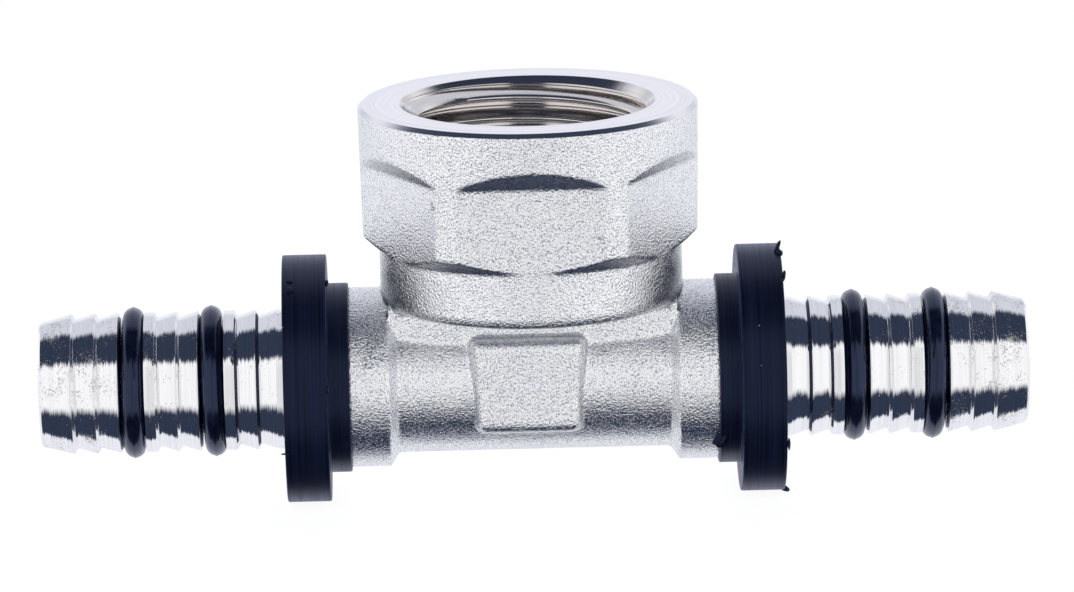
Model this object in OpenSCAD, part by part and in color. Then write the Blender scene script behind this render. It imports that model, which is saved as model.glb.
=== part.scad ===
// Press tee for 16 x 2 mm multilayer pipe, with a female 1/2 inch parallel branch.
// One forged and turned body, two stop washers and four O-rings.
// Millimetres. The run axis is X, the branch points up along Z,
// and the origin is where the two axes cross. The raised pad faces -Y.

/* [Run] */
// Length of the run, from tip to tip
run_len = 83.3; // [80:0.1:100]
// Bore of the run
run_bore_d = 7.5; // [6:0.1:8]
// Chamfer of the run bore at each tip
bore_chamfer = 0.4; // [0.1:0.05:0.6]
// Diameter of the forged tube between the collars
tube_d = 12.9; // [12:0.1:14]
// Diameter of the collar that each washer seats on
collar_d = 15.2; // [14.2:0.1:15.8]
// Distance from the centre to the outer end of each collar
collar_end = 15.5; // [15:0.1:17]
// Width of each collar's cylindrical part
collar_w = 3.3; // [2:0.1:3.6]
// Length of the slope from each collar down to the tube
shoulder_len = 0.75; // [0.4:0.05:1.2]
// Edge radius of the collars
collar_round = 0.3; // [0.1:0.05:0.5]

/* [Press tails] */
// Inner diameter of the pipe that is pressed on
pipe_bore_d = 12; // [11.8:0.05:13]
// Radial clearance between a barb's crest and the pipe
pipe_clear = 0.1; // [0.05:0.05:0.2]
// Height of a barb, from root to crest
barb_h = 0.43; // [0.2:0.01:0.6]
// Distance from one barb to the next at the tip
barb_pitch = 1.97; // [1.5:0.01:2.2]
// Distance from one barb to the next behind the O-rings
ring_pitch = 1.82; // [1.5:0.01:2]
// Length of the slope behind each crest
barb_drop = 0.22; // [0.1:0.01:0.3]
// Width of the flat at each crest
crest_w = 0.12; // [0.06:0.01:0.2]
// Width of the flat at each root
root_w = 0.2; // [0.05:0.01:0.3]
// Number of barbs before the first O-ring
tip_barbs = 3; // [2:1:3]
// Number of barbs after each O-ring
ring_barbs = 2; // [1:1:2]
// Distance from the tip to the first crest
lead_len = 2.76; // [2:0.02:3.2]
// Diameter of the tip
tip_d = 10.5; // [9.8:0.1:11]
// Rounding of the tip's edge
tip_round = 0.2; // [0.1:0.05:0.4]
// Width of the plain land behind each O-ring, with the slope after it
land_w = 1.12; // [0.8:0.02:1.4]

/* [O-rings] */
// Section diameter of an O-ring
oring_section = 1.78; // [1.5:0.01:1.8]
// Width of an O-ring's groove
groove_w = 1.96; // [1.9:0.01:2.2]
// Diameter of a groove's floor
groove_d = 9.1; // [9:0.05:9.6]
// Radial clearance under an O-ring
oring_clear = 0.02; // [0.01:0.01:0.05]

/* [Stop washers] */
// Diameter of a washer's flange
washer_d = 20.9; // [19:0.1:24]
// Thickness of a washer's flange
flange_w = 3.7; // [2:0.1:4]
// Diameter of a washer's hub
hub_d = 16; // [15.9:0.1:18]
// Length of a washer's hub
hub_len = 1.8; // [1:0.1:2.4]
// Radial clearance between a washer and the tail
washer_clear = 0.05; // [0.03:0.01:0.1]
// Edge chamfer of a washer
washer_chamfer = 0.15; // [0.05:0.01:0.3]

/* [Branch] */
// Height of the branch's mouth above the run axis
mouth_z = 23.5; // [23:0.05:28]
// Diameter of the head at its rim
rim_d = 28.6; // [28:0.1:30]
// Diameter of the head at its lower edge
head_low_d = 28.2; // [27.4:0.1:28.5]
// Chamfer of the rim
rim_chamfer = 0.35; // [0.1:0.05:0.8]
// Minor diameter of the 1/2 inch parallel thread
thread_minor_d = 18.631; // [17:0.001:19.5]
// Depth of the threaded hole
thread_depth = 12.5; // [10:0.1:13]
// Diameter of the mouth's chamfer
mouth_d = 21.5; // [20.8:0.1:22.5]
// Full angle of the cone under the threaded hole
drill_angle = 118; // [110:1:130]
// Diameter of the passage down to the run
passage_d = 7; // [6:0.1:8]

/* [Hexagon] */
// Size across the flats of the hexagon
across_flats = 25.5; // [25.2:0.1:26]
// Height of the flats' upper end above the run axis
flat_top_z = 18.55; // [17:0.05:20]
// Angle of the slope above each flat, from the horizontal
flat_slope = 46; // [35:1:60]
// Height of the head's lower edge above the run axis
head_low_z = 12.35; // [12:0.05:13.5]

/* [Neck] */
// Diameter of the neck under the hexagon
neck_d = 25.5; // [24.6:0.1:25.8]
// Height of the neck's upper end above the run axis
neck_top_z = 11.4; // [10.5:0.05:11.9]
// Height of the neck's lower edge above the run axis
neck_low_z = 6.6; // [6:0.05:7.4]
// Edge radius of the neck's lower edge
neck_round = 0.8; // [0.1:0.05:1]
// Edge radius of the head and of the neck's upper end
forge_round = 0.35; // [0.1:0.05:0.5]
// Half width of the web under the neck, at the middle
web_mid_y = 5.4; // [5.1:0.05:5.8]
// Half width of the web where it meets the collars
web_end_y = 4.8; // [4.4:0.05:5]

/* [Pad] */
// Distance of the pad's face in front of the run axis
pad_y = 7.1; // [6.8:0.05:7.6]
// Width of the pad at its top
pad_top_w = 9.8; // [8:0.1:11]
// Width of the pad at its bottom
pad_low_w = 8.7; // [7:0.1:10]
// Height of the pad's lower edge, below the run axis
pad_low = 3.65; // [3:0.05:4]
// Height of the pad's upper edge above the run axis
pad_top = 4.45; // [4.2:0.05:5.2]
// Shift of the pad along the run, from the branch's axis
pad_shift = -0.5; // [-1:0.05:1]
// Corner radius of the pad
pad_corner = 0.9; // [0.4:0.05:1.4]
// Slope of the pad's sides, in degrees
pad_draft = 9; // [3:1:20]

/* [Hidden] */

forged_nickel = "#c9ccd2";
washer_black = "#171a2b";
rubber_black = "#1b2140";

round_fn = 96;
blend_fn = 32;
arc_steps = 4;
web_steps = 8;
skin = 0.02;
over = 1;

tip_x = run_len / 2;
run_bore_r = run_bore_d / 2;
tube_r = tube_d / 2;
collar_r = collar_d / 2;
crest_r = pipe_bore_d / 2 - pipe_clear;
root_r = crest_r - barb_h;
tip_r = tip_d / 2;
groove_r = groove_d / 2;
neck_r = neck_d / 2;
head_low_r = head_low_d / 2;
rim_r = rim_d / 2;
thread_r = thread_minor_d / 2;
mouth_r = mouth_d / 2;
passage_r = passage_d / 2;
flat_r = across_flats / 2;
head_reach = max(rim_r, head_low_r, neck_r) + over;
tail_len = tip_x - collar_end;

// Distances from the tip along a tail
groove_1 = lead_len + (tip_barbs - 1) * barb_pitch + barb_drop;
barbs_1 = groove_1 + groove_w + land_w;
groove_2 = barbs_1 + ring_barbs * ring_pitch;
barbs_2 = groove_2 + groove_w + land_w;
last_barb = barbs_2 + (ring_barbs - 1) * ring_pitch;
seat_s = last_barb + ring_pitch - barb_drop - crest_w;

// Arc that rounds the corner b between a and c, as points
function unit(v) = v / norm(v);
function corner(a, b, c, r) =
    r <= 0 ? [b] :
    let (
        u = unit(a - b),
        v = unit(c - b),
        half = acos(u * v) / 2,
        back = r / tan(half),
        mid = b + unit(u + v) * r / sin(half),
        p = b + u * back - mid,
        q = b + v * back - mid,
        sweep = acos(max(-1, min(1, (p * q) / (r * r)))),
        turn = p[0] * q[1] - p[1] * q[0] > 0 ? 1 : -1
    )
    [for (i = [0:arc_steps]) let (t = turn * sweep * i / arc_steps)
        mid + [p[0] * cos(t) - p[1] * sin(t), p[0] * sin(t) + p[1] * cos(t)]];

// Closed outline from [x, y, radius] corners
function rounded(pts) =
    let (n = len(pts))
    [for (i = [0:n - 1])
        let (a = pts[(i + n - 1) % n], b = pts[i], c = pts[(i + 1) % n])
        each corner([a[0], a[1]], [b[0], b[1]], [c[0], c[1]], b[2])];

// One barb, from the root at distance s to the root behind its crest
function barb(s, pitch) = [
    [root_r, s + root_w],
    [crest_r, s + pitch - barb_drop - crest_w],
    [crest_r, s + pitch - barb_drop],
    [root_r, s + pitch]
];

// A row of barbs, from the root at distance s
function barb_row(s, count, pitch) =
    [for (i = [0:1:count - 1]) each barb(s + i * pitch, pitch)];

// The plain land behind a groove that starts at distance s
function land(s) = [
    [crest_r, s + groove_w],
    [crest_r, s + groove_w + land_w - barb_drop],
    [root_r, s + groove_w + land_w]
];

// Half section of a tail: radius against distance from the tip
function tail_outline() = concat(
    [[0, 0], [tip_r - tip_round, 0], [tip_r, tip_round]],
    [[crest_r, lead_len - crest_w], [crest_r, lead_len], [root_r, lead_len + barb_drop]],
    barb_row(lead_len + barb_drop, tip_barbs - 1, barb_pitch),
    land(groove_1),
    barb_row(barbs_1, ring_barbs, ring_pitch),
    land(groove_2),
    barb_row(barbs_2, ring_barbs - 1, ring_pitch),
    [[root_r, last_barb + root_w], [crest_r, seat_s]],
    [[crest_r, tail_len + over], [0, tail_len + over]]
);

// Places a part that is drawn from the tip inwards, on the side that is given
module at_tip(side) {
    rotate([0, side * -90, 0])
        translate([0, 0, -tip_x])
            children();
}

module tail(side) {
    at_tip(side)
        rotate_extrude($fn = round_fn)
            difference() {
                polygon(tail_outline());
                for (s = [groove_1, groove_2])
                    translate([groove_r, s])
                        square([crest_r, groove_w]);
            }
}

module collar(side) {
    inner = collar_end - collar_w;
    outline = [
        [0, collar_end, 0],
        [collar_r, collar_end, collar_round],
        [collar_r, inner, collar_round],
        [tube_r, inner - shoulder_len, 0],
        [0, inner - shoulder_len, 0]
    ];
    rotate([0, side * 90, 0])
        rotate_extrude($fn = round_fn)
            polygon(rounded(outline));
}

module run() {
    for (side = [-1, 1]) {
        tail(side);
        collar(side);
    }
    rotate([0, 90, 0])
        cylinder(h = 2 * collar_end - 2 * collar_w, r = tube_r, center = true, $fn = round_fn);
}

// Cutter for one flat, with the slope above it
module flat_cut() {
    up = (head_reach - flat_r) * tan(flat_slope);
    rotate([90, 0, 90])
        linear_extrude(height = 2 * head_reach, center = true)
            polygon([
                [flat_r, neck_low_z],
                [flat_r, flat_top_z],
                [head_reach, flat_top_z + up],
                [head_reach, neck_low_z]
            ]);
}

module head() {
    outline = [
        [0, neck_low_z, 0],
        [neck_r, neck_low_z, neck_round],
        [neck_r, neck_top_z, forge_round],
        [head_low_r, head_low_z, forge_round],
        [rim_r, mouth_z - rim_chamfer, 0],
        [rim_r - rim_chamfer, mouth_z, 0],
        [0, mouth_z, 0]
    ];
    difference() {
        rotate_extrude($fn = round_fn)
            polygon(rounded(outline));
        for (i = [0:5])
            rotate([0, 0, 60 * i])
                flat_cut();
    }
}

// Upright web between the tube and the neck's underside, a little wider at the middle
module web() {
    end_x = collar_end - collar_w;
    bow = web_mid_y - web_end_y;
    side = [for (i = [-web_steps:web_steps]) let (t = i / web_steps)
        [t * end_x, web_mid_y - bow * t * t]];
    linear_extrude(height = neck_low_z + skin)
        polygon(concat(side, [for (i = [len(side) - 1:-1:0]) [side[i][0], -side[i][1]]]));
}

module pad() {
    flare = tan(pad_draft) * pad_y;
    rows = [[pad_top - pad_corner, pad_top_w], [pad_corner - pad_low, pad_low_w]];
    hull()
        for (row = rows)
            for (side = [-1, 1])
                translate([pad_shift + side * (row[1] / 2 - pad_corner), 0, row[0]])
                    rotate([90, 0, 0])
                        cylinder(h = pad_y, r1 = pad_corner + flare, r2 = pad_corner, $fn = blend_fn);
}

module branch_hole() {
    low_z = mouth_z - thread_depth;
    cone_h = (thread_r - passage_r) / tan(drill_angle / 2);
    mouth_h = mouth_r - thread_r;
    translate([0, 0, low_z])
        cylinder(h = thread_depth + over, r = thread_r, $fn = round_fn);
    translate([0, 0, mouth_z - mouth_h])
        cylinder(h = mouth_h + over, r1 = thread_r, r2 = mouth_r + over, $fn = round_fn);
    translate([0, 0, low_z - cone_h])
        cylinder(h = cone_h, r1 = passage_r, r2 = thread_r, $fn = round_fn);
    cylinder(h = low_z, r = passage_r, $fn = round_fn);
}

module run_hole() {
    rotate([0, 90, 0])
        cylinder(h = run_len + 2 * over, r = run_bore_r, center = true, $fn = round_fn);
    for (side = [-1, 1])
        at_tip(side)
            translate([0, 0, -over])
                cylinder(h = bore_chamfer + over, r1 = run_bore_r + bore_chamfer + over, r2 = run_bore_r, $fn = round_fn);
}

module body() {
    color(forged_nickel)
        difference() {
            union() {
                run();
                head();
                web();
                pad();
            }
            branch_hole();
            run_hole();
        }
}

module washer(side) {
    bore = crest_r + washer_clear;
    c = washer_chamfer;
    hub_r = hub_d / 2;
    outer_r = washer_d / 2;
    step_x = collar_end + hub_len;
    end_x = step_x + flange_w;
    color(washer_black)
        rotate([0, side * 90, 0])
            rotate_extrude($fn = round_fn)
                polygon([
                    [bore, collar_end],
                    [hub_r - c, collar_end],
                    [hub_r, collar_end + c],
                    [hub_r, step_x],
                    [outer_r - c, step_x],
                    [outer_r, step_x + c],
                    [outer_r, end_x - c],
                    [outer_r - c, end_x],
                    [bore + c, end_x],
                    [bore, end_x - c]
                ]);
}

module oring(side, groove_s) {
    section_r = oring_section / 2;
    color(rubber_black)
        at_tip(side)
            translate([0, 0, groove_s + groove_w / 2])
                rotate_extrude($fn = round_fn)
                    translate([groove_r + oring_clear + section_r, 0])
                        circle(r = section_r, $fn = blend_fn);
}

body();
washer(-1);  // washer_left
washer(1);  // washer_right
oring(-1, groove_1);  // oring_left_outer
oring(-1, groove_2);  // oring_left_inner
oring(1, groove_2);  // oring_right_inner
oring(1, groove_1);  // oring_right_outer
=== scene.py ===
import math
import time

import bpy
import numpy as np
from mathutils import Matrix, Vector, noise


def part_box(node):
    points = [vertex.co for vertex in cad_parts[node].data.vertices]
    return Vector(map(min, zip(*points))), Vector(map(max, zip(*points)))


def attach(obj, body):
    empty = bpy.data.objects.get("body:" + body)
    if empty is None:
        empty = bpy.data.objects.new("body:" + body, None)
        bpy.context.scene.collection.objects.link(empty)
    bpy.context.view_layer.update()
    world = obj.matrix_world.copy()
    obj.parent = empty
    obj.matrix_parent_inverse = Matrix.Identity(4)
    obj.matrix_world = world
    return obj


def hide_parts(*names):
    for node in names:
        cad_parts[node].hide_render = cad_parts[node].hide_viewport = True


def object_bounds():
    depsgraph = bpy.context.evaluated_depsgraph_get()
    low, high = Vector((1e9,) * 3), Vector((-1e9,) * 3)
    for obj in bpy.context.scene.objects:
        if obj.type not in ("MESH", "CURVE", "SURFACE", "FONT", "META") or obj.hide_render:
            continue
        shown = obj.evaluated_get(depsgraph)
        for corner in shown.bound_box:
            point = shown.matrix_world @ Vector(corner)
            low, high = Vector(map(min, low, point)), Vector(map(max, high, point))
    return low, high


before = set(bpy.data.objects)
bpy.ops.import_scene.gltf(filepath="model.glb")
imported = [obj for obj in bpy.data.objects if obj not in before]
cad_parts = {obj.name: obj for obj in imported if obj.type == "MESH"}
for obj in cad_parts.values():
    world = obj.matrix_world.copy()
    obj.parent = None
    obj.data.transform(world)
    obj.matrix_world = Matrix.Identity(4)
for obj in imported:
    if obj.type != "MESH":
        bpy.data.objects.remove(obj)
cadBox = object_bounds()

mm = 0.001
joinDistance = 0.002 * mm                    # vertices nearer than this become one
startTime = time.time()

lowCorner, highCorner = cadBox
tipX = highCorner.x                          # end of each tail
mouthZ = highCorner.z                        # plane of the branch's mouth
floorZ = lowCorner.z
washerLow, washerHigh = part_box("washer_right")
collarEndX = washerLow.x                     # where a washer meets its collar
washerEndX = washerHigh.x
washerRadius = washerHigh.z


def report(text):
    print("press tee:", text, "%.1f s" % (time.time() - startTime))


# Small modelling helpers

def deselectAll():
    if bpy.context.object and bpy.context.object.mode != "OBJECT":
        bpy.ops.object.mode_set(mode="OBJECT")
    bpy.ops.object.select_all(action="DESELECT")


def pick(*pieces):
    deselectAll()
    for piece in pieces:
        piece.select_set(True)
    bpy.context.view_layer.objects.active = pieces[0]


def nameIt(name):
    piece = bpy.context.object
    piece.name = name
    piece.data.name = name
    return piece


def settle(piece):                           # place, turn and scale go into the mesh
    pick(piece)
    bpy.ops.object.transform_apply(location=True, rotation=True, scale=True)
    return piece


def applyModifier(piece, kind, **values):
    pick(piece)
    bpy.ops.object.modifier_add(type=kind)
    modifier = piece.modifiers[-1]
    for key, value in values.items():
        setattr(modifier, key, value)
    bpy.ops.object.modifier_apply(modifier=modifier.name)


def bevelEdges(piece, width, steps, angle):
    applyModifier(piece, "BEVEL", width=width * mm, segments=steps, limit_method="ANGLE",
                  angle_limit=math.radians(angle))


def combine(piece, tool, operation):
    applyModifier(piece, "BOOLEAN", operation=operation, object=tool, solver="MANIFOLD")
    bpy.data.objects.remove(tool)


def chooseVertices(piece, test):             # leaves the piece in edit mode, with these selected
    pick(piece)
    bpy.context.tool_settings.mesh_select_mode = (True, False, False)
    bpy.ops.object.mode_set(mode="EDIT")
    bpy.ops.mesh.select_all(action="DESELECT")
    bpy.ops.object.mode_set(mode="OBJECT")
    for vertex in piece.data.vertices:
        vertex.select = test(vertex.co / mm)
    bpy.ops.object.mode_set(mode="EDIT")


def cleanUp(piece):
    pick(piece)
    bpy.ops.object.mode_set(mode="EDIT")
    bpy.ops.mesh.select_all(action="SELECT")
    bpy.ops.mesh.remove_doubles(threshold=joinDistance)
    bpy.ops.mesh.normals_make_consistent(inside=False)
    bpy.ops.object.mode_set(mode="OBJECT")


def drawRings(stations):                     # takes the active circle through (height, radius) in mm
    bpy.ops.object.mode_set(mode="EDIT")
    bpy.ops.mesh.select_all(action="SELECT")
    height, radius = stations[0]
    for nextHeight, nextRadius in stations[1:]:
        bpy.ops.mesh.extrude_region_move(
            TRANSFORM_OT_translate={"value": (0, 0, (nextHeight - height) * mm)})
        factor = nextRadius / radius
        bpy.ops.transform.resize(value=(factor, factor, 1), center_override=(0, 0, nextHeight * mm))
        height, radius = nextHeight, nextRadius
    bpy.ops.object.mode_set(mode="OBJECT")


def turned(name, stations, segments):        # a solid of revolution about Z
    deselectAll()
    height, radius = stations[0]
    bpy.ops.mesh.primitive_circle_add(vertices=segments, radius=radius * mm, fill_type="NGON",
                                      location=(0, 0, height * mm))
    piece = settle(nameIt(name))
    drawRings(stations)
    cleanUp(piece)
    return piece


def tipOver(piece):                          # from the Z axis on to the X axis
    piece.rotation_euler = (0, math.pi / 2, 0)
    return settle(piece)


def layAlongX(piece, side, startX):          # what was turned about Z runs inwards from the tip
    piece.rotation_euler = (0, -side * math.pi / 2, 0)
    piece.location = (side * startX, 0, 0)
    return settle(piece)


# The forged blank: every form is a closed shape, and the remesh fuses them with soft edges

forging = {
    "tubeRadius": 6.45,
    "collarRadius": 7.6,
    "collarWidth": 3.3,
    "collarEdge": (0.4, 0.25),               # length and drop of the edge that the washers hide
    "shoulder": 0.75,
    "runSegments": 128,
    "neckRadius": 12.75,
    "neckLow": 6.6,
    "neckRound": 0.8,
    "neckCurve": [(0, 1), (0.1, 0.5), (0.3, 0.2), (1, 0)],   # rise and inset, as shares of the round
    "neckTop": 11.4,
    "headLow": 12.35,
    "headLowRadius": 14.1,
    "headSegments": 160,
    "rimRadius": 14.3,
    "rimStraight": 0.3,
    "flatDistance": 12.75,
    "flatTop": 18.55,
    "flatSlope": 46,
    "flatBelow": 0.2,                        # how far the flats' cutters pass the neck's lower edge
    "flatBeyond": 2,                         # and the rim
    "webMiddle": 5.4,
    "webEnd": 4.8,
    "webSteps": 24,
    "webOverlap": 0.3,
    "padFace": 7.1,
    "padTopWidth": 9.8,
    "padLowWidth": 8.7,
    "padTop": 4.45,
    "padLow": -3.65,
    "padShift": -0.5,
    "padCorner": 0.9,
    "padCornerSteps": 5,
    "padDraft": 9,
    "spare": 0.8,                            # what the facing cut takes off the rim
    "voxel": 0.17,
    "quickVoxel": 0.34,
    "softening": 2,
    "share": 0.32,                           # faces left after the flat areas are thinned out
    "waviness": 0.04,
    "wavinessSize": 3.2,
}


def makeHead(shape):
    low, radius, bend = shape["neckLow"], shape["neckRadius"], shape["neckRound"]
    rim = shape["rimRadius"]
    head = turned("blankHead", [
        *[(low + rise * bend, radius - inset * bend) for rise, inset in shape["neckCurve"]],
        (shape["neckTop"], radius),
        (shape["headLow"], shape["headLowRadius"]),
        (mouthZ / mm - shape["rimStraight"], rim),
        (mouthZ / mm + shape["spare"], rim),
    ], shape["headSegments"])
    reach = rim + shape["flatBeyond"]
    deep = reach - shape["flatDistance"]
    slope = deep * math.tan(math.radians(shape["flatSlope"]))
    bottom = low - shape["flatBelow"]
    top = shape["flatTop"] + slope
    near = 0.1
    for i in range(6):
        deselectAll()
        bpy.ops.mesh.primitive_cube_add(size=1, location=(0, 0, 0))
        cutter = nameIt("flatCutter")
        cutter.scale = (2 * reach * mm, deep * mm, (top - bottom) * mm)
        cutter.location = (0, -(shape["flatDistance"] + deep / 2) * mm, (top + bottom) / 2 * mm)
        settle(cutter)
        # the inner upper edge comes down to the flat's top
        chooseVertices(cutter, lambda place: place.z > top - near and place.y > -reach + near)
        bpy.ops.transform.translate(value=(0, 0, -slope * mm))
        bpy.ops.object.mode_set(mode="OBJECT")
        cutter.rotation_euler = (0, 0, i * math.pi / 3)
        settle(cutter)
        combine(head, cutter, "DIFFERENCE")
    return head


def makeRun(shape):
    outer = collarEndX / mm
    inner = outer - shape["collarWidth"]
    tube, collar = shape["tubeRadius"], shape["collarRadius"]
    length, drop = shape["collarEdge"]
    half = [(inner - shape["shoulder"], tube), (inner, collar), (outer, collar),
            (outer + length, collar - drop)]
    mirrored = [(-place, radius) for place, radius in reversed(half)]
    return tipOver(turned("blankRun", mirrored + half, shape["runSegments"]))


def makeWeb(shape):                          # upright walls between the tube and the neck's underside
    deselectAll()
    halfLength = collarEndX / mm - shape["collarWidth"]
    bpy.ops.mesh.primitive_grid_add(x_subdivisions=shape["webSteps"], y_subdivisions=1, size=2)
    web = nameIt("blankWeb")
    web.scale = (halfLength * mm, shape["webMiddle"] * mm, 1)
    settle(web)
    for vertex in web.data.vertices:          # a little narrower at the collars
        share = vertex.co.x / (halfLength * mm)
        vertex.co.y *= 1 - (1 - shape["webEnd"] / shape["webMiddle"]) * share * share
    height = (shape["neckLow"] + shape["webOverlap"]) * mm
    bpy.ops.object.mode_set(mode="EDIT")
    bpy.ops.mesh.select_all(action="SELECT")
    bpy.ops.mesh.extrude_region_move(TRANSFORM_OT_translate={"value": (0, 0, height)})
    bpy.ops.object.mode_set(mode="OBJECT")
    cleanUp(web)
    return web


def makePad(shape):
    deselectAll()
    bpy.ops.mesh.primitive_cube_add(size=1)
    pad = nameIt("blankPad")
    face, shift, top = shape["padFace"], shape["padShift"], shape["padTop"]
    height = top - shape["padLow"]
    middleZ = (top + shape["padLow"]) / 2
    pad.scale = (shape["padTopWidth"] * mm, face * mm, height * mm)
    pad.location = (shift * mm, -face / 2 * mm, middleZ * mm)
    settle(pad)
    for vertex in pad.data.vertices:          # narrower at the bottom
        if vertex.co.z < middleZ * mm:
            fromMiddle = vertex.co.x - shift * mm
            vertex.co.x = shift * mm + fromMiddle * shape["padLowWidth"] / shape["padTopWidth"]
    for edge in pad.data.edges:               # the four edges that run to the face
        first, second = (pad.data.vertices[i].co for i in edge.vertices)
        edge.select = abs(first.y - second.y) > face * mm / 2
    bpy.context.tool_settings.mesh_select_mode = (False, True, False)
    bpy.ops.object.mode_set(mode="EDIT")
    bpy.ops.mesh.bevel(offset=shape["padCorner"] * mm, segments=shape["padCornerSteps"], affect="EDGES")
    bpy.ops.mesh.select_all(action="DESELECT")
    bpy.ops.object.mode_set(mode="OBJECT")
    for vertex in pad.data.vertices:          # all sides but the top lean outwards to the back
        vertex.select = vertex.co.y > -face * mm / 2
    lean = face * math.tan(math.radians(shape["padDraft"]))
    wider = 1 + 2 * lean / shape["padTopWidth"]
    lower = 1 + lean / height
    bpy.context.tool_settings.mesh_select_mode = (True, False, False)
    bpy.ops.object.mode_set(mode="EDIT")
    bpy.ops.transform.resize(value=(wider, 1, lower), center_override=(shift * mm, 0, top * mm))
    bpy.ops.object.mode_set(mode="OBJECT")
    return pad


def makeBlank(shape):
    pick(makeRun(shape), makeHead(shape), makeWeb(shape), makePad(shape))
    bpy.ops.object.join()
    blank = nameIt("pressTeeBody")
    voxel = shape["voxel"] * mm
    applyModifier(blank, "REMESH", mode="VOXEL", voxel_size=voxel, adaptivity=0)
    applyModifier(blank, "SMOOTH", factor=0.5, iterations=shape["softening"])
    waves = bpy.data.textures.new("forgingWaves", "CLOUDS")
    waves.noise_scale = shape["wavinessSize"] * mm
    waves.noise_depth = 2
    applyModifier(blank, "DISPLACE", texture=waves, strength=shape["waviness"] * mm, mid_level=0.5,
                  texture_coords="LOCAL")
    applyModifier(blank, "DECIMATE", ratio=shape["share"])
    return blank


# The turned tails, with their barbs and grooves

tail = {
    "crestRadius": 5.9,
    "rootRadius": 5.47,
    "tipRadius": 5.25,
    "tipRound": 0.2,
    "lead": 2.76,
    "tipPitch": 1.97,
    "ringPitch": 1.82,
    "drop": 0.22,
    "crestFlat": 0.12,
    "rootFlat": 0.2,
    "tipBarbs": 3,
    "ringBarbs": 2,
    "land": 1.12,
    "grooveWidth": 1.96,
    "grooveRadius": 4.55,
    "segments": 144,
    "edge": 0.025,
    "edgeSteps": 2,
    "edgeAngle": 10,
    "buried": 1,                             # how far the tail runs on into its collar
}


def barbStations(start, count, pitch, shape):
    stations = []
    for i in range(count):
        root = start + i * pitch
        stations += [
            (root + shape["rootFlat"], shape["rootRadius"]),
            (root + pitch - shape["drop"] - shape["crestFlat"], shape["crestRadius"]),
            (root + pitch - shape["drop"], shape["crestRadius"]),
            (root + pitch, shape["rootRadius"]),
        ]
    return stations


def grooveStations(start, shape):
    width = shape["grooveWidth"]
    return [
        (start, shape["grooveRadius"]),
        (start + width, shape["grooveRadius"]),
        (start + width, shape["crestRadius"]),
        (start + width + shape["land"] - shape["drop"], shape["crestRadius"]),
        (start + width + shape["land"], shape["rootRadius"]),
    ]


def groovePlaces(shape):                     # distances from the tip to the two O-ring grooves
    first = shape["lead"] + (shape["tipBarbs"] - 1) * shape["tipPitch"] + shape["drop"]
    second = first + shape["grooveWidth"] + shape["land"] + shape["ringBarbs"] * shape["ringPitch"]
    return first, second


def makeTail(side, shape):
    crest, root = shape["crestRadius"], shape["rootRadius"]
    lead, drop = shape["lead"], shape["drop"]
    first, second = groovePlaces(shape)
    afterFirst = first + shape["grooveWidth"] + shape["land"]
    afterSecond = second + shape["grooveWidth"] + shape["land"]
    lastBarb = afterSecond + (shape["ringBarbs"] - 1) * shape["ringPitch"]
    seat = lastBarb + shape["ringPitch"] - drop - shape["crestFlat"]
    stations = [(0, shape["tipRadius"] - shape["tipRound"]), (shape["tipRound"], shape["tipRadius"]),
                (lead - shape["crestFlat"], crest), (lead, crest), (lead + drop, root)]
    stations += barbStations(lead + drop, shape["tipBarbs"] - 1, shape["tipPitch"], shape)
    stations += grooveStations(first, shape)
    stations += barbStations(afterFirst, shape["ringBarbs"], shape["ringPitch"], shape)
    stations += grooveStations(second, shape)
    stations += barbStations(afterSecond, shape["ringBarbs"] - 1, shape["ringPitch"], shape)
    stations += [(lastBarb + shape["rootFlat"], root), (seat, crest),
                 ((tipX - collarEndX) / mm + shape["buried"], crest)]
    piece = turned("tail", stations, shape["segments"])
    bevelEdges(piece, shape["edge"], shape["edgeSteps"], shape["edgeAngle"])
    return layAlongX(piece, side, tipX)


# What the machining takes away: the facing cut, the drilled and tapped branch, and the run bore

machining = {
    "rimChamfer": 0.35,
    "facingBeyond": 0.8,                     # how far the facing cut reaches past the rim
    "facingAbove": 3,
    "mouthRadius": 10.75,
    "threadMinor": 9.3155,
    "threadMajor": 10.4775,
    "threadPitch": 1.8143,
    "threadDepth": 12.5,
    "threadSteps": 96,
    "threadSamples": 12,                     # points on one turn's profile
    "threadSharpness": 2.6,
    "tapLow": 10.48,                         # sets where the thread starts round the mouth
    "tapInset": 0.06,
    "tapTaper": 0.1,
    "tapTaperTurns": 2,
    "drillAngle": 118,
    "passageRadius": 3.5,
    "boreRadius": 3.75,
    "boreChamfer": 0.4,
    "boreSegments": 96,
    "spare": 1,                              # how far the other tools pass what they cut
    "segments": 192,
}


def makeFacingCutter(shape):
    rim = forging["rimRadius"]
    top = mouthZ / mm
    chamfer, beyond = shape["rimChamfer"], shape["facingBeyond"]
    return turned("facingCutter", [(top, rim - chamfer), (top - chamfer - beyond, rim + beyond),
                                   (top + shape["facingAbove"], rim + beyond)], shape["segments"])


def makeDrill(shape):
    top = mouthZ / mm
    low = top - shape["threadDepth"]
    minor, passage, spare = shape["threadMinor"], shape["passageRadius"], shape["spare"]
    cone = (minor - passage) / math.tan(math.radians(shape["drillAngle"] / 2))
    mouth = shape["mouthRadius"] - minor
    return turned("drill", [(0, passage), (low - cone, passage), (low, minor), (top - mouth, minor),
                            (top + spare, shape["mouthRadius"] + spare)], shape["segments"])


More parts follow.
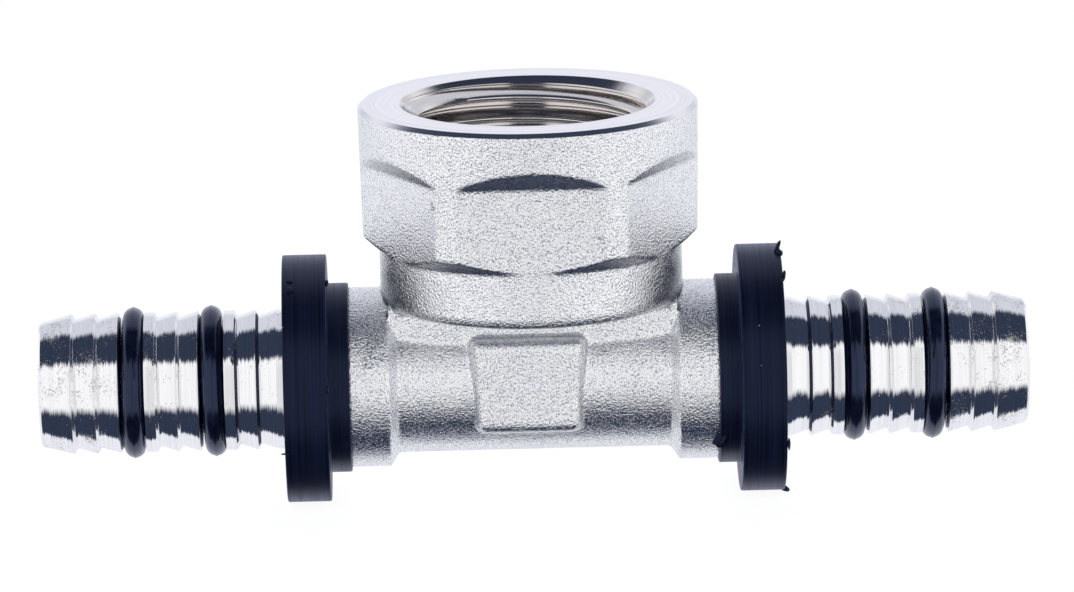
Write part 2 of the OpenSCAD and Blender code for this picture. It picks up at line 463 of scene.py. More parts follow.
def closeEnd(piece, test):                   # draws one open end together on its middle point
    bpy.ops.object.mode_set(mode="EDIT")
    bpy.context.tool_settings.mesh_select_mode = (False, True, False)
    bpy.ops.mesh.select_all(action="DESELECT")
    bpy.ops.mesh.select_non_manifold(extend=False, use_wire=False, use_boundary=True,
                                     use_multi_face=False, use_non_contiguous=False, use_verts=False)
    bpy.ops.object.mode_set(mode="OBJECT")
    mesh = piece.data
    chosen = [edge.index for edge in mesh.edges
              if edge.select and test(mesh.vertices[edge.vertices[0]].co.z)]
    for part in (*mesh.edges, *mesh.vertices, *mesh.polygons):
        part.select = False
    for index in chosen:
        mesh.edges[index].select = True
    bpy.ops.object.mode_set(mode="EDIT")
    bpy.ops.mesh.extrude_region_move()
    bpy.ops.mesh.merge(type="CENTER")
    bpy.ops.object.mode_set(mode="OBJECT")


def makeTap(shape):
    # one turn's profile, screwed up the hole; its lower end tapers as a real tap's does
    pitch, low, samples = shape["threadPitch"], shape["tapLow"], shape["threadSamples"]
    turns = math.ceil((mouthZ / mm + shape["spare"] - low) / pitch)
    sharpness = shape["threadSharpness"]
    root = shape["threadMinor"] - shape["tapInset"]
    deselectAll()
    bpy.ops.mesh.primitive_plane_add(size=mm)
    tap = nameIt("tap")
    bpy.ops.object.mode_set(mode="EDIT")
    bpy.ops.mesh.select_all(action="SELECT")
    bpy.ops.mesh.merge(type="CENTER")
    bpy.ops.transform.translate(value=(root * mm, 0, low * mm))
    lastRadius = root
    for i in range(1, samples + 1):
        fold = abs(2 * i / samples - 1)
        share = 0.5 - 0.5 * math.tanh(sharpness * (fold - 0.5)) / math.tanh(sharpness / 2)
        radius = root + (shape["threadMajor"] - root) * share
        bpy.ops.mesh.extrude_region_move(
            TRANSFORM_OT_translate={"value": ((radius - lastRadius) * mm, 0, pitch / samples * mm)})
        lastRadius = radius
    bpy.ops.object.mode_set(mode="OBJECT")
    applyModifier(tap, "SCREW", axis="Z", angle=2 * math.pi, screw_offset=pitch * mm, iterations=turns,
                  steps=shape["threadSteps"], render_steps=shape["threadSteps"])
    cleanUp(tap)
    for vertex in tap.data.vertices:
        height = vertex.co.z / mm - low
        lead = min(1, max(0, height / (shape["tapTaperTurns"] * pitch)))
        factor = 1 - shape["tapTaper"] + shape["tapTaper"] * lead
        vertex.co.x *= factor
        vertex.co.y *= factor
    middle = (low + turns * pitch / 2) * mm
    closeEnd(tap, lambda z: z <= middle)
    closeEnd(tap, lambda z: z > middle)
    cleanUp(tap)
    return tap


def makeBoreCutter(shape):
    end, spare = tipX / mm, shape["spare"]
    bore, chamfer = shape["boreRadius"], shape["boreChamfer"]
    half = [(end - chamfer, bore), (end + spare, bore + chamfer + spare)]
    mirrored = [(-place, radius) for place, radius in reversed(half)]
    return tipOver(turned("boreCutter", mirrored + half, shape["boreSegments"]))


# Shader helpers

def addNode(tree, kind, inputs=None, **settings):
    made = tree.nodes.new(kind)
    for key, value in settings.items():
        setattr(made, key, value)
    for key, value in (inputs or {}).items():
        if isinstance(value, bpy.types.NodeSocket):
            tree.links.new(value, made.inputs[key])
        else:
            made.inputs[key].default_value = value
    return made


def calc(tree, operation, *values, clamp=False):
    return addNode(tree, "ShaderNodeMath", dict(enumerate(values)), operation=operation,
                   use_clamp=clamp).outputs[0]


def vectorCalc(tree, operation, *values):
    made = addNode(tree, "ShaderNodeVectorMath", dict(enumerate(values)), operation=operation)
    return made.outputs["Value" if operation in ("DISTANCE", "DOT_PRODUCT", "LENGTH") else "Vector"]


def scaled(tree, vector, factor):
    return addNode(tree, "ShaderNodeVectorMath", {0: vector, "Scale": factor},
                   operation="SCALE").outputs["Vector"]


def smooth(tree, value, low, high):
    made = addNode(tree, "ShaderNodeMapRange", {"Value": value, "From Min": low, "From Max": high},
                   interpolation_type="SMOOTHSTEP")
    return made.outputs["Result"]


def noiseValue(tree, place, scale, detail, roughness):
    made = addNode(tree, "ShaderNodeTexNoise",
                   {"Vector": place, "Scale": scale, "Detail": detail, "Roughness": roughness})
    return made.outputs["Fac"]


def cellDistance(tree, place, scale):
    made = addNode(tree, "ShaderNodeTexVoronoi", {"Vector": place, "Scale": scale, "Randomness": 1.0})
    return made.outputs["Distance"]


def ramp(tree, value, stops):
    made = addNode(tree, "ShaderNodeValToRGB", {"Fac": value})
    elements = made.color_ramp.elements
    while len(elements) < len(stops):
        elements.new(0.5)
    for element, (position, color) in zip(elements, stops):
        element.position = position
        element.color = (*color, 1)
    return made.outputs["Color"]


def opaque(color):                           # a plain colour gets its fourth value, a socket stays
    return (*color, 1) if isinstance(color, tuple) else color


def mixColor(tree, factor, first, second, blend="MIX"):
    return addNode(tree, "ShaderNodeMix", {0: factor, 6: opaque(first), 7: opaque(second)},
                   data_type="RGBA", blend_type=blend).outputs[2]


def mixShader(tree, factor, first, second):
    return addNode(tree, "ShaderNodeMixShader", {0: factor, 1: first, 2: second}).outputs[0]


def emission(tree, color, strength=1.0):
    return addNode(tree, "ShaderNodeEmission", {"Color": (*color, 1), "Strength": strength}).outputs[0]


def bump(tree, height, depth, strength=1.0, **inputs):
    made = addNode(tree, "ShaderNodeBump",
                   {"Height": height, **inputs, "Strength": strength, "Distance": depth * mm})
    return made.outputs["Normal"]


def newGroup(name, inputs, outputs):         # each socket is of its sample value's kind
    group = bpy.data.node_groups.new(name, "ShaderNodeTree")
    for way, samples in (("INPUT", inputs), ("OUTPUT", outputs)):
        for label, sample in samples.items():
            kind = "NodeSocketVector" if isinstance(sample, tuple) else "NodeSocketFloat"
            socket = group.interface.new_socket(name=label, in_out=way, socket_type=kind)
            socket.default_value = sample
    return group, group.nodes.new("NodeGroupInput"), group.nodes.new("NodeGroupOutput")


def useGroup(tree, group, inputs):
    return addNode(tree, "ShaderNodeGroup", inputs, node_tree=group).outputs


def newMaterial(name, sockets):
    material = bpy.data.materials.new(name)
    material.use_nodes = True
    tree = material.node_tree
    shader = tree.nodes["Principled BSDF"]
    for label, value in sockets.items():
        shader.inputs[label].default_value = value
    place = tree.nodes.new("ShaderNodeTexCoord").outputs["Object"]
    return material, tree, shader, place


def connect(tree, node, values):
    for label, value in values.items():
        tree.links.new(value, node.inputs[label])


# Forged nickel: shot-blasted grain with small dark pits and flecks

grain = {
    "fine": (1.0, 2.0, 0.65),                # scale in grains, detail and roughness of each noise
    "soft": (0.16, 3.0, 0.55),
    "flecks": (1.7, 1.0, 0.6),
    "cells": 1.1,
    "cellReach": 0.75,
    "cellHeight": 0.45,
    "softShare": 0.35,
    "pitLevel": 0.42,
    "pitContrast": 9.0,
    "fleckLevel": 0.44,
    "fleckContrast": 7.0,
    "size": 0.2,                             # mm, one grain
    "pitShare": 0.10,
    "patchShare": 0.2,
    # darker patches with more pits, at given places: place, radius and strength
    "patches": [((-13.7, -6.75, 3.5), 2.0, 1.0), ((6.3, -12.75, 13.4), 1.5, 0.8),
                ((8.7, -6.4, 1.0), 2.2, 0.55), ((-9.7, -8.3, 6.9), 0.4, 2.0),
                ((-13.7, -6.2, -4.3), 0.5, 1.6), ((-8.2, -11.3, 17.0), 0.6, 1.6),
                ((9.5, -6.0, -2.6), 1.2, 0.5)],
    "tones": [(0.3, (0.95, 0.96, 0.98)), (0.7, (1.0, 1.0, 1.0))],
    "pitColor": (0.27, 0.30, 0.38),
    "roughness": 0.10,
    "cloudRoughness": 0.14,
    "depth": 0.075,                          # mm
}


def makeGrainGroup(setup):
    group, source, target = newGroup("grain", {"Place": (0, 0, 0), "Size mm": 0.25, "Pit share": 0.1},
                                     {"Height": 0, "Pits": 0, "Cloud": 0})
    perSize = calc(group, "DIVIDE", 1 / mm, source.outputs["Size mm"])
    place = scaled(group, source.outputs["Place"], perSize)
    fine, soft, flecks = (noiseValue(group, place, *setup[word]) for word in ("fine", "soft", "flecks"))
    dots = calc(group, "SUBTRACT", setup["cellReach"], cellDistance(group, place, setup["cells"]),
                clamp=True)
    height = calc(group, "ADD", fine, calc(group, "MULTIPLY", dots, setup["cellHeight"]))
    uneven = calc(group, "ADD", fine, calc(group, "MULTIPLY", soft, setup["softShare"]))
    edge = calc(group, "ADD", setup["pitLevel"], source.outputs["Pit share"])
    pits = calc(group, "MULTIPLY", calc(group, "SUBTRACT", edge, uneven), setup["pitContrast"],
                clamp=True)
    dark = calc(group, "MULTIPLY", calc(group, "SUBTRACT", setup["fleckLevel"], flecks),
                setup["fleckContrast"], clamp=True)
    connect(group, target, {"Height": height, "Pits": calc(group, "MAXIMUM", pits, dark), "Cloud": soft})
    return group


def makeForgedNickel(setup):
    material, tree, shader, place = newMaterial("forgedNickel", {"Metallic": 1.0})
    patched = 0.0
    for where, radius, strength in setup["patches"]:
        away = vectorCalc(tree, "DISTANCE", place, tuple(c * mm for c in where))
        near = calc(tree, "SUBTRACT", 1.0, calc(tree, "DIVIDE", away, radius * mm), clamp=True)
        patched = calc(tree, "MULTIPLY_ADD", near, setup["patchShare"] * strength, patched)
    share = calc(tree, "ADD", setup["pitShare"], patched)
    marks = useGroup(tree, makeGrainGroup(setup),
                     {"Place": place, "Size mm": setup["size"], "Pit share": share})
    bright = ramp(tree, marks["Cloud"], setup["tones"])
    clouded = calc(tree, "MULTIPLY", marks["Cloud"], setup["cloudRoughness"])
    connect(tree, shader, {"Base Color": mixColor(tree, marks["Pits"], bright, setup["pitColor"]),
                           "Roughness": calc(tree, "ADD", setup["roughness"], clouded),
                           "Normal": bump(tree, marks["Height"], setup["depth"])})
    return material


# Turned nickel: marks that run round an axis, and specks near the two tips

turning = {
    "slow": 70.0,                            # how fast the marks change round the axis, per metre
    "fine": (1.0, 1.0, 0.5),                 # scale, detail and roughness of each noise
    "broad": (0.7, 2.0, 0.6),
    "apart": (31.7, 4.1, 9.3),               # keeps the broad noise clear of the fine one
    "dull": 0.88,
    "toneStops": (0.3, 0.62),
    "dirt": (5200.0, 2.0, 0.6),
    "cloud": (520.0, 2.0, 0.5),
    "cloudShare": 0.7,
    "outerStart": 0.55,                      # share of the way to the tip
    "outerShare": 0.12,
    "speckLevel": 1.04,
    "speckContrast": 9.0,
    "speckCover": 0.55,
    "speckColor": (0.44, 0.41, 0.39),
    "speckRoughness": 0.3,
    "laneRoughness": 0.10,
    "tails": {"name": "turnedNickel", "axis": (1, 0, 0), "lane": 0.11, "wander": 0.2,
              "tint": (0.98, 0.98, 0.99), "depth": 0.002, "roughness": 0.03, "speckle": 1.0},
    "face": {"name": "facedNickel", "axis": (0, 0, 1), "lane": 0.12, "wander": 0.0,
             "tint": (0.93, 0.93, 0.97), "depth": 0.002, "roughness": 0.16, "speckle": 0.0},
    "inside": {"name": "threadNickel", "axis": (0, 0, 1), "lane": 0.14, "wander": 0.03,
               "tint": (0.86, 0.83, 0.81), "depth": 0.003, "roughness": 0.1, "speckle": 0.0},
}


def makeTurningGroup(setup):
    # lanes of height and tone, and a normal that wanders from lane to lane
    group, source, target = newGroup(
        "turningMarks", {"Place": (0, 0, 0), "Axis": (1, 0, 0), "Lane mm": 0.15, "Wander": 0.05},
        {"Height": 0, "Tone": 0, "Normal": (0, 0, 0)})
    place, axis = source.outputs["Place"], source.outputs["Axis"]
    along = vectorCalc(group, "DOT_PRODUCT", place, axis)
    onAxis = scaled(group, axis, along)
    outwards = vectorCalc(group, "LENGTH", vectorCalc(group, "SUBTRACT", place, onAxis))
    travel = calc(group, "MULTIPLY", calc(group, "ADD", along, outwards), 1 / mm)
    lanes = calc(group, "DIVIDE", travel, source.outputs["Lane mm"])
    slow = vectorCalc(group, "MULTIPLY", place, (setup["slow"], setup["slow"], setup["slow"]))
    parts = addNode(group, "ShaderNodeSeparateXYZ", {"Vector": slow}).outputs
    streaks = addNode(group, "ShaderNodeCombineXYZ", {"X": lanes, "Y": parts["Y"], "Z": parts["Z"]})
    fine = noiseValue(group, streaks.outputs[0], *setup["fine"])
    shifted = vectorCalc(group, "ADD", streaks.outputs[0], setup["apart"])
    broad = noiseValue(group, shifted, *setup["broad"])
    normal = addNode(group, "ShaderNodeNewGeometry").outputs["Normal"]
    across = vectorCalc(group, "CROSS_PRODUCT", axis, normal)
    lean = calc(group, "MULTIPLY", calc(group, "SUBTRACT", broad, 0.5), source.outputs["Wander"])
    bent = vectorCalc(group, "ADD", normal, scaled(group, across, lean))
    connect(group, target, {"Height": fine, "Tone": broad, "Normal": vectorCalc(group, "NORMALIZE", bent)})
    return group


turningGroup = makeTurningGroup(turning)


def makeTurnedNickel(finish, setup):
    material, tree, shader, place = newMaterial(finish["name"], {"Metallic": 1.0})
    marks = useGroup(tree, turningGroup, {"Place": place, "Axis": finish["axis"],
                                          "Lane mm": finish["lane"], "Wander": finish["wander"]})
    dull = tuple(setup["dull"] * c for c in finish["tint"])
    color = ramp(tree, marks["Tone"], list(zip(setup["toneStops"], (dull, finish["tint"]))))
    # fine tan and grey specks, thicker towards the two tips
    x = addNode(tree, "ShaderNodeSeparateXYZ", {"Vector": place}).outputs["X"]
    outer = smooth(tree, calc(tree, "ABSOLUTE", x), setup["outerStart"] * tipX, tipX)
    dirt, cloud = (noiseValue(tree, place, *setup[word]) for word in ("dirt", "cloud"))
    level = calc(tree, "ADD", dirt, calc(tree, "MULTIPLY", cloud, setup["cloudShare"]))
    level = calc(tree, "ADD", level, calc(tree, "MULTIPLY", outer, setup["outerShare"]))
    specks = calc(tree, "MULTIPLY", calc(tree, "SUBTRACT", level, setup["speckLevel"]),
                  setup["speckContrast"] * finish["speckle"], clamp=True)
    cover = calc(tree, "MULTIPLY", specks, setup["speckCover"])
    roughness = calc(tree, "ADD", finish["roughness"],
                     calc(tree, "MULTIPLY", marks["Height"], setup["laneRoughness"]))
    roughness = calc(tree, "ADD", roughness, calc(tree, "MULTIPLY", specks, setup["speckRoughness"]))
    connect(tree, shader, {"Base Color": mixColor(tree, cover, color, setup["speckColor"]),
                           "Roughness": roughness,
                           "Normal": bump(tree, marks["Height"], finish["depth"], Normal=marks["Normal"])})
    return material


# The finished body

body = {
    "slack": 0.02,                           # mm, allowed where faces are told apart by place
    "runSlack": 0.05,
    "chamferSlack": 0.1,
    "chamferInner": 13,
    "insideLow": 7.4,                        # the thread and its drill point lie above this height
    "level": 0.98,                           # least upward part of the normal on the ring face
    "sloped": 0.5,                           # and on its chamfer
    "smoothAngle": 38,
}


def faceArrays(piece):
    count = len(piece.data.polygons)
    centers = np.empty(count * 3)
    normals = np.empty(count * 3)
    piece.data.polygons.foreach_get("center", centers)
    piece.data.polygons.foreach_get("normal", normals)
    return centers.reshape(-1, 3) / mm, normals.reshape(-1, 3)


def shadeSmooth(piece, angle):
    pick(piece)
    bpy.ops.object.shade_smooth_by_angle(angle=math.radians(angle))


def weighNormals(piece):
    applyModifier(piece, "WEIGHTED_NORMAL", keep_sharp=True, weight=50)


def makeBody(setup):
    piece = makeBlank(forging)
    report("forged blank, %d faces" % len(piece.data.polygons))
    for side in (-1, 1):
        combine(piece, makeTail(side, tail), "UNION")
    for makeTool in (makeFacingCutter, makeDrill, makeTap, makeBoreCutter):
        combine(piece, makeTool(machining), "DIFFERENCE")
    report("machined, %d faces" % len(piece.data.polygons))
    piece.data.materials.clear()
    piece.data.materials.append(makeForgedNickel(grain))
    for word in ("tails", "face", "inside"):
        piece.data.materials.append(makeTurnedNickel(turning[word], turning))
    centers, normals = faceArrays(piece)
    x, y, z = centers.T
    up = normals[:, 2]
    fromBranch, fromRun = np.hypot(x, y), np.hypot(y, z)
    slack, runSlack, top = setup["slack"], setup["runSlack"], mouthZ / mm
    onTails = (np.abs(x) > collarEndX / mm + slack) & (fromRun < tail["crestRadius"] + runSlack)
    onFace = (z > top - slack) & (up > setup["level"])
    onFace |= ((z > top - machining["rimChamfer"] - setup["chamferSlack"])
               & (fromBranch > setup["chamferInner"]) & (up > setup["sloped"]))
    inside = (fromBranch < machining["mouthRadius"] + slack) & (z > setup["insideLow"])
    inside |= (fromBranch < machining["passageRadius"] + slack) & (z > 0)
    inside |= fromRun < machining["boreRadius"] + runSlack
    index = np.zeros(len(centers), np.int32)
    index[onTails] = 1
    index[inside] = 3
    index[onFace] = 2
    piece.data.polygons.foreach_set("material_index", index)
    shadeSmooth(piece, setup["smoothAngle"])
    weighNormals(piece)
    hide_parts("body")
    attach(piece, "root")


makeBody(body)
report("body")


# Stop washers

washer = {
    "flange": 3.7,
    "hub": 1.8,
    "hubRadius": 8.0,
    "bore": 5.95,
    "chamfer": 0.14,
    "chamferSteps": 3,
    "chamferAngle": 40,
    "segments": 192,
    "smoothAngle": 30,
    # nicks in the rims and flash left by the trimming: place, size and turn of each
    "nicks": {-1: [((-20.3, -4.6, 9.35), (0.34, 0.3, 0.2), 20),
                   ((-20.3, -5.7, 8.7), (0.3, 0.25, 0.16), -30),
                   ((-21.0, -9.9, -3.2), (0.22, 0.3, 0.12), 0)],
              1: [((21.0, -6.2, 8.35), (0.2, 0.35, 0.14), 0), ((17.3, -9.6, 4.0), (0.12, 0.3, 0.3), 0)]},
    "flash": {-1: [((-17.25, -4.4, 9.2), (0.2, 0.3, 0.34), 10),
                   ((-17.28, -10.3, 1.5), (0.1, 0.14, 0.4), 0),
                   ((-20.95, -9.6, -4.15), (0.34, 0.08, 0.1), 0)],
              1: [((20.75, -1.6, 10.75), (0.14, 0.3, 0.62), 24), ((20.9, -2.1, 10.3), (0.24, 0.3, 0.3), -35),
                  ((21.05, -5.0, 9.0), (0.16, 0.3, 0.45), 8), ((20.9, -2.3, -9.98), (0.5, 0.5, 0.2), 30),
                  ((15.6, -6.6, -4.5), (0.55, 0.2, 1.05), 28), ((21.1, -9.4, -4.4), (0.1, 0.3, 0.5), 0)]},
    "dent": 0.45,                            # share of a crumb's size
    "dentSize": 0.45,                        # mm
    "lane": 0.12,
    "tones": [(0.3, (0.001, 0.002, 0.008)), (0.7, (0.010, 0.014, 0.042))],
    "dust": 420.0,                           # specks of dust per metre
    "dustReach": 0.035,
    "dustColor": (0.35, 0.36, 0.42),
    "roughness": 0.26,
    "laneRoughness": 0.2,
    "depth": 0.012,
    "strength": 0.8,
    # strengths of the painted navy reflection and the painted navy sheen
    "mirror": 0.34,
    "sheen": 0.22,
}


def paintedNavyReflection(setup):                        # painted reflection: the mirrored room and a grazing sheen are tinted navy on dark plastic and rubber
    return {"Specular IOR Level": setup["mirror"], "Specular Tint": (0.45, 0.58, 1.0, 1),
            "Sheen Weight": setup["sheen"], "Sheen Roughness": 0.35, "Sheen Tint": (0.16, 0.26, 1.0, 1)}


def makeWasherPlastic(setup):
    material, tree, shader, place = newMaterial("blackWasher", paintedNavyReflection(setup))
    marks = useGroup(tree, turningGroup,
                     {"Place": place, "Axis": (1, 0, 0), "Lane mm": setup["lane"], "Wander": 0.0})
    color = ramp(tree, marks["Tone"], setup["tones"])
    dust = calc(tree, "LESS_THAN", cellDistance(tree, place, setup["dust"]), setup["dustReach"])
    lanes = calc(tree, "MULTIPLY", marks["Height"], setup["laneRoughness"])
    connect(tree, shader, {"Base Color": mixColor(tree, dust, color, setup["dustColor"]),
                           "Roughness": calc(tree, "ADD", setup["roughness"], lanes),
                           "Normal": bump(tree, marks["Height"], setup["depth"], setup["strength"])})
    return material


def makeCrumb(place, size, turn):            # a small rough lump, dented by noise
    deselectAll()
    bpy.ops.mesh.primitive_ico_sphere_add(subdivisions=3, radius=mm)
    crumb = nameIt("crumb")
    crumb.scale = size
    settle(crumb)
    for vertex in crumb.data.vertices:
        dent = noise.noise(vertex.co / (washer["dentSize"] * mm) + Vector(place))
        vertex.co *= 1 + washer["dent"] * dent
    crumb.rotation_euler = (0, math.radians(turn), 0)
    crumb.location = [c * mm for c in place]
    return settle(crumb)


def makeWasher(name, side, material, shape):
    radius = washerRadius / mm
    end = shape["flange"]
    total = end + shape["hub"]
    stations = [(0, shape["bore"]), (0, radius), (end, radius), (end, shape["hubRadius"]),
                (total, shape["hubRadius"]), (total, shape["bore"])]
    deselectAll()
    bpy.ops.mesh.primitive_circle_add(vertices=shape["segments"], radius=shape["bore"] * mm)
    piece = nameIt(name)
    drawRings(stations + stations[:1])
    cleanUp(piece)
    bevelEdges(piece, shape["chamfer"], shape["chamferSteps"], shape["chamferAngle"])
    layAlongX(piece, side, washerEndX)
    for nick in shape["nicks"][side]:
        combine(piece, makeCrumb(*nick), "DIFFERENCE")
    for crumb in shape["flash"][side]:
        combine(piece, makeCrumb(*crumb), "UNION")
    piece.data.materials.clear()
    piece.data.materials.append(material)
    shadeSmooth(piece, shape["smoothAngle"])
    weighNormals(piece)
    return piece


washerPlastic = makeWasherPlastic(washer)
for side, node in ((-1, "washer_left"), (1, "washer_right")):
    piece = makeWasher("stopWasher" + ("Left" if side < 0 else "Right"), side, washerPlastic, washer)
    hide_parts(node)
    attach(piece, "root")
report("washers")


# O-rings

oring = {
    "section": 1.78,
    "clear": 0.02,
    "segments": (160, 32),
    "flash": 0.06,
    "flashNear": 0.001,                      # mm, what counts as the outermost ring of vertices
    "lean": {"oring_left_outer": 0.6, "oring_left_inner": -0.9, "oring_right_inner": 0.2,
             "oring_right_outer": 1.1},
    "smoothAngle": 50,
    "smear": (900.0, 3.0, 0.6),
    "tones": [(0.35, (0.002, 0.003, 0.010)), (0.7, (0.008, 0.011, 0.034))],
    "roughness": 0.08,
    "smearRoughness": 0.2,
    "depth": 0.01,
    "strength": 0.5,
    # strengths of the painted navy reflection and the painted navy sheen
    "mirror": 0.75,
    "sheen": 0.15,
}


def makeRingRubber(setup):
    material, tree, shader, place = newMaterial("ringRubber", paintedNavyReflection(setup))
    smear = noiseValue(tree, place, *setup["smear"])
    smeared = calc(tree, "MULTIPLY", smear, setup["smearRoughness"])
    connect(tree, shader, {"Base Color": ramp(tree, smear, setup["tones"]),
                           "Roughness": calc(tree, "ADD", setup["roughness"], smeared),
                           "Normal": bump(tree, smear, setup["depth"], setup["strength"])})
    return material


def makeRing(node, side, distance, material, shape):
    section = shape["section"] / 2
    major = tail["grooveRadius"] + shape["clear"] + section
    around, across = shape["segments"]
    deselectAll()
    bpy.ops.mesh.primitive_torus_add(major_radius=major * mm, minor_radius=section * mm,
                                     major_segments=around, minor_segments=across)
    words = node.split("_")
    piece = nameIt("ring" + words[1].title() + words[2].title())
    for vertex in piece.data.vertices:        # the moulding flash stands round the outside
        reach = math.hypot(vertex.co.x, vertex.co.y)
        if reach > (major + section - shape["flashNear"]) * mm:
            vertex.co.x *= 1 + shape["flash"] * mm / reach
            vertex.co.y *= 1 + shape["flash"] * mm / reach
    piece.rotation_euler = (0, -side * math.pi / 2 + math.radians(shape["lean"][node]), 0)
    piece.location = (side * (tipX - (distance + tail["grooveWidth"] / 2) * mm), 0, 0)
    settle(piece)
    piece.data.materials.append(material)
    shadeSmooth(piece, shape["smoothAngle"])
    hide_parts(node)
    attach(piece, "root")


ringRubber = makeRingRubber(oring)
firstGroove, secondGroove = groovePlaces(tail)
for side, word in ((-1, "left"), (1, "right")):
    makeRing("oring_%s_outer" % word, side, firstGroove, ringRubber, oring)
    makeRing("oring_%s_inner" % word, side, secondGroove, ringRubber, oring)
report("O-rings")


# Studio: a white room told apart by the angle about the run, with bright sides, over a light table
# whose front edge lies just before the object, so that low faces mirror the dark beyond it

studio = {
    "bright": (0.98, 0.98, 1.0),
    "dark": (0.030, 0.040, 0.072),
    "back": (0.88, 0.885, 0.95),
    "above": (0.66, 0.68, 0.75),
    # degrees, 0 towards the camera and 90 overhead
    "bands": [(-180, "back"), (-122, "back"), (-112, "dark"), (-46, "dark"), (-32, "bright"),
              (46, "bright"), (53, "dark"), (99, "dark"), (107, "above"), (148, "above"),
              (162, "back"), (180, "back")],
    "overhead": 1.326,                       # radians, the middle of the dark band overhead
    "overheadSpread": 2.1,                   # how much wider that band is at the sides
    "sides": (0.42, 0.62),                   # where the bright sides begin and are full
    "ahead": (0.6, 0.9),                     # the same for the room behind the camera
    "aheadSides": (0.2, 0.5),
    "aheadLevel": 0.80,
    "floorSize": 900,
    "floorColor": (0.9, 0.9, 0.91),
    "floorRoughness": 0.9,
    "floorGlow": 1.2,                        # what the camera sees of the floor
    "floorGlowShare": 0.78,
    "tableFront": -3.6,                      # mm, where the glowing part of the table ends
    "tableEdge": 0.6,
    "tableGlow": (0.86, 0.87, 0.93),
    "card": (40, 50),                        # mm, wide and high
    "cardPlace": (0, -60, 45),
    "cardReach": 74,                         # mm, only longer rays or repeated reflections see the card
    "cardGlow": 0.6,
}


def makeWorld(setup):
    world = bpy.data.worlds.new("studio")
    bpy.context.scene.world = world
    world.use_nodes = True
    tree = world.node_tree
    background = tree.nodes["Background"]
    direction = tree.nodes.new("ShaderNodeTexCoord").outputs["Generated"]
    parts = addNode(tree, "ShaderNodeSeparateXYZ", {"Vector": direction}).outputs
    forwards = calc(tree, "MULTIPLY", parts["Y"], -1.0)
    sideways = calc(tree, "ABSOLUTE", parts["X"])
    angle = calc(tree, "ARCTAN2", parts["Z"], forwards)
    # the dark band overhead is wider towards the sides
    over = calc(tree, "SUBTRACT", angle, setup["overhead"])
    spread = calc(tree, "MULTIPLY_ADD", calc(tree, "MULTIPLY", sideways, sideways),
                  setup["overheadSpread"], 1.0)
    closer = calc(tree, "ADD", calc(tree, "DIVIDE", over, spread), setup["overhead"])
    angle = calc(tree, "MINIMUM", angle, closer)
    share = calc(tree, "ADD", calc(tree, "DIVIDE", angle, 2 * math.pi), 0.5)
    bands = ramp(tree, share, [((degrees + 180) / 360, setup[word]) for degrees, word in setup["bands"]])
    aside = smooth(tree, sideways, *setup["sides"])
    low = calc(tree, "SUBTRACT", 1.0, smooth(tree, calc(tree, "ABSOLUTE", parts["Z"]), *setup["sides"]))
    color = mixColor(tree, calc(tree, "MULTIPLY", aside, low), bands, setup["bright"])
    ahead = calc(tree, "MULTIPLY", smooth(tree, forwards, *setup["ahead"]),
                 calc(tree, "SUBTRACT", 1.0, smooth(tree, sideways, *setup["aheadSides"])))
    level = setup["aheadLevel"]
    dimmed = mixColor(tree, 1.0, color, (level, level, level), "MULTIPLY")
    tree.links.new(mixColor(tree, ahead, color, dimmed), background.inputs["Color"])
    white = addNode(tree, "ShaderNodeBackground", {"Color": (1, 1, 1, 1), "Strength": 1.0})
    rays = tree.nodes.new("ShaderNodeLightPath").outputs
    seen = mixShader(tree, rays["Is Camera Ray"], background.outputs[0], white.outputs[0])
    tree.links.new(seen, tree.nodes["World Output"].inputs["Surface"])


def makeFloor(setup):
    deselectAll()
    bpy.ops.mesh.primitive_plane_add(size=setup["floorSize"] * mm, location=(0, 0, floorZ))
    floor = settle(nameIt("floor"))
    material, tree, shader, place = newMaterial("paleFloor", {
        "Base Color": (*setup["floorColor"], 1), "Roughness": setup["floorRoughness"],
        "Specular IOR Level": 0.0})
    rays = tree.nodes.new("ShaderNodeLightPath").outputs
    plain = shader.outputs[0]
    shown = mixShader(tree, setup["floorGlowShare"], plain, emission(tree, (1, 1, 1), setup["floorGlow"]))
    y = addNode(tree, "ShaderNodeSeparateXYZ", {"Vector": place}).outputs["Y"]
    front, edge = setup["tableFront"] * mm, setup["tableEdge"] * mm
    onTable = smooth(tree, y, front - edge, front + edge)
    clear = tree.nodes.new("ShaderNodeBsdfTransparent").outputs[0]
    mirrored = mixShader(tree, onTable, clear, emission(tree, setup["tableGlow"]))
    seen = mixShader(tree, rays["Is Camera Ray"], plain, shown)
    tree.links.new(mixShader(tree, rays["Is Glossy Ray"], seen, mirrored),
                   tree.nodes["Material Output"].inputs["Surface"])
    floor.data.materials.append(material)


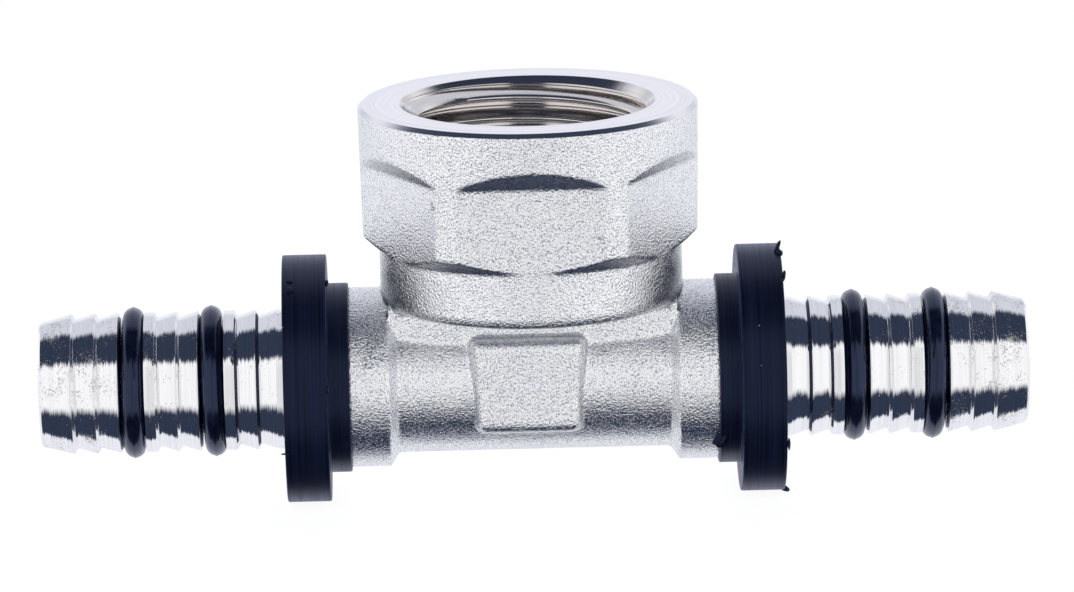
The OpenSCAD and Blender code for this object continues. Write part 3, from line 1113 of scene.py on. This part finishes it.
def makeCard(setup):                         # what the thread's far wall mirrors as a dark stripe
    deselectAll()
    bpy.ops.mesh.primitive_plane_add(size=mm, location=[c * mm for c in setup["cardPlace"]])
    card = nameIt("card")
    card.scale = (*setup["card"], 1)
    card.rotation_euler = (math.pi / 2, 0, 0)
    settle(card)
    material, tree, shader, place = newMaterial("blackCard", {})
    rays = tree.nodes.new("ShaderNodeLightPath").outputs
    repeated = calc(tree, "GREATER_THAN", rays["Glossy Depth"], 1.5)
    far = calc(tree, "GREATER_THAN", rays["Ray Length"], setup["cardReach"] * mm)
    clear = tree.nodes.new("ShaderNodeBsdfTransparent").outputs[0]
    black = emission(tree, setup["dark"], setup["cardGlow"])
    tree.links.new(mixShader(tree, calc(tree, "MAXIMUM", repeated, far), clear, black),
                   tree.nodes["Material Output"].inputs["Surface"])
    card.data.materials.append(material)
    card.visible_camera = False
    card.visible_diffuse = False
    card.visible_shadow = False


makeWorld(studio)
makeFloor(studio)
makeCard(studio)


# Camera at the photograph's angle

view = {
    "elevation": 13.007,
    "azimuth": 0.790,
    "roll": -1.267,
    "distance": 595.23,
    "aimX": 0.445,
    "aimZ": 6.629,
    "lens": 236.25,
    "sensor": 36,
}


def makeCamera(setup):
    elevation, azimuth, roll = (math.radians(setup[key]) for key in ("elevation", "azimuth", "roll"))
    ahead = Vector((math.sin(azimuth) * math.cos(elevation), math.cos(azimuth) * math.cos(elevation),
                    -math.sin(elevation)))
    right = Vector((math.cos(azimuth), -math.sin(azimuth), 0))
    up = right.cross(ahead)
    tiltedRight = right * math.cos(roll) + up * math.sin(roll)
    tiltedUp = up * math.cos(roll) - right * math.sin(roll)
    turn = Matrix((tiltedRight, tiltedUp, -ahead)).transposed()
    place = Vector((setup["aimX"], 0, setup["aimZ"])) * mm - ahead * setup["distance"] * mm
    deselectAll()
    bpy.ops.object.camera_add(location=place, rotation=turn.to_euler())
    camera = bpy.context.object
    camera.data.sensor_width = setup["sensor"]
    camera.data.sensor_fit = "HORIZONTAL"
    camera.data.lens = setup["lens"]
    camera.data.clip_start = 0.01
    bpy.context.scene.camera = camera


makeCamera(view)
bpy.context.scene.view_settings.view_transform = "Standard"

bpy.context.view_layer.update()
report("ready")
